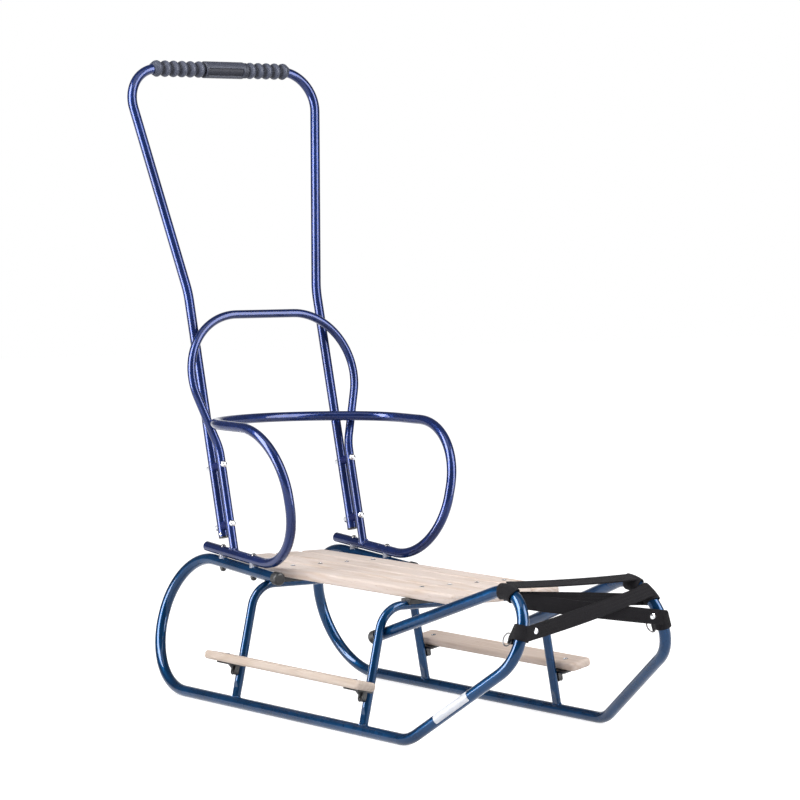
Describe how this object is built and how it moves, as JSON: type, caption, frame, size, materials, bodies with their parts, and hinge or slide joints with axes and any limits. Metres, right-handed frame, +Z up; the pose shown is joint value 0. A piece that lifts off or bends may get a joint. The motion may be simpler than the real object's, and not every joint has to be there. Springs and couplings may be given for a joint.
{
  "type": "child's snow sled",
  "caption": "Tube-framed child's snow sled with curled runners, slatted wooden seat, backrest, arm loops, side footrests, push handle and tow strap.",
  "frame": {"origin": "on the ground under the middle of the whole length and width", "axes": "+X forward in the direction of travel, +Y left, +Z up"},
  "size_m": [1.0152, 0.4592, 1.0308],
  "materials": {
    "frame_paint": "glossy blue",
    "rail_paint": "glossy blue",
    "birch": "plain sanded",
    "grip_rubber": "matte",
    "black_plastic": "satin",
    "clear_plastic": "translucent",
    "bracket_paint": "satin black",
    "zinc": "zinc plated",
    "ring_steel": "bright",
    "webbing": "woven"
  },
  "bodies": {
    "sled": {"arm_bolt_front_left": "zinc", "arm_bolt_front_right": "zinc", "arm_bolt_rear_left": "zinc", "arm_bolt_rear_right": "zinc", "arm_loop": "rail_paint", "arm_spacer_front_left": "clear_plastic", "arm_spacer_front_right": "clear_plastic", "arm_spacer_rear_left": "clear_plastic", "arm_spacer_rear_right": "clear_plastic", "backrest_loop": "rail_paint", "footrest_bracket_front_left": "bracket_paint", "footrest_bracket_front_right": "bracket_paint", "footrest_bracket_rear_left": "bracket_paint", "footrest_bracket_rear_right": "bracket_paint", "footrest_left": "birch", "footrest_right": "birch", "front_arch": "frame_paint", "handle_bolt_high_left": "zinc", "handle_bolt_high_right": "zinc", "handle_bolt_low_left": "zinc", "handle_bolt_low_right": "zinc", "handle_grip": "grip_rubber", "handle_plug_left": "black_plastic", "handle_plug_right": "black_plastic", "handle_spacer_high_left": "black_plastic", "handle_spacer_high_right": "black_plastic", "handle_spacer_low_left": "black_plastic", "handle_spacer_low_right": "black_plastic", "push_handle": "rail_paint", "rear_arch": "frame_paint", "runner_cap_front_left": "black_plastic", "runner_cap_front_right": "black_plastic", "runner_cap_rear_left": "black_plastic", "runner_cap_rear_right": "black_plastic", "runner_left": "frame_paint", "runner_right": "frame_paint", "seat_saddle_front": "black_plastic", "seat_saddle_rear": "black_plastic", "seat_slat_1": "birch", "seat_slat_2": "birch", "seat_slat_3": "birch", "seat_slat_4": "birch", "tow_strap": "webbing"},
    "tow_ring_right": {"tow_ring_right": "ring_steel"},
    "tow_ring_left": {"tow_ring_left": "ring_steel"}
  },
  "joints": [
    {"name": "tow_ring_swing_right", "type": "hinge", "parent": "sled", "child": "tow_ring_right", "pos_m": [0.47259, -0.13699, 0.17528], "axis": [0, 0.3037, 0.9528], "range_deg": [-75, 75]},
    {"name": "tow_ring_swing_left", "type": "hinge", "parent": "sled", "child": "tow_ring_left", "pos_m": [0.47259, 0.13699, 0.17528], "axis": [0, -0.3037, 0.9528], "range_deg": [-75, 75]}
  ]
}
